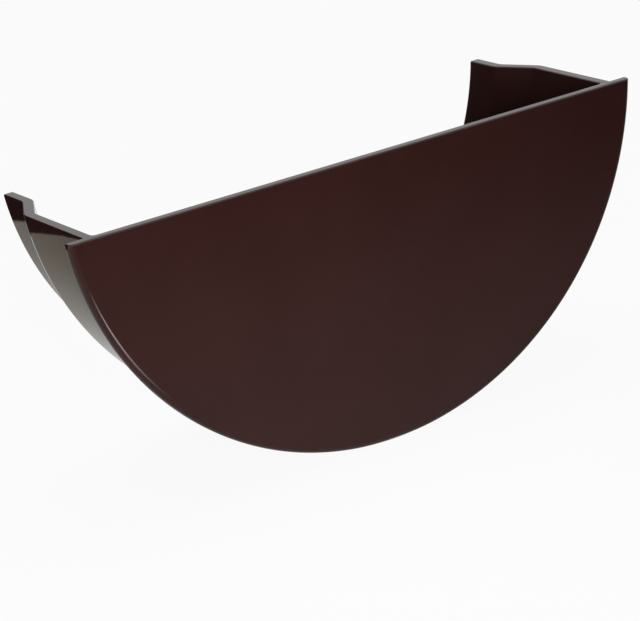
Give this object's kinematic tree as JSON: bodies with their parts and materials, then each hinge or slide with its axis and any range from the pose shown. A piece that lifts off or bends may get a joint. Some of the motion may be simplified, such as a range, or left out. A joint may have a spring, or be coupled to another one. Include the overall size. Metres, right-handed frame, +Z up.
{
  "type": "gutter end cap",
  "caption": "Half-round gutter end cap: a flat plate with a stepped half-round wall behind it that slides into the gutter's end and closes it.",
  "frame": {"origin": "on the axis of the round wall, on the plate's inner face, where the gutter's end stops", "axes": "+X across the gutter, +Y along the gutter away from the plate, +Z up"},
  "size_m": [0.1144, 0.0362, 0.0511],
  "materials": {
    "brown_plastic": "glossy moulded plastic, dark brown"
  },
  "bodies": {
    "root": {"end_cap": "brown_plastic"}
  },
  "joints": []
}
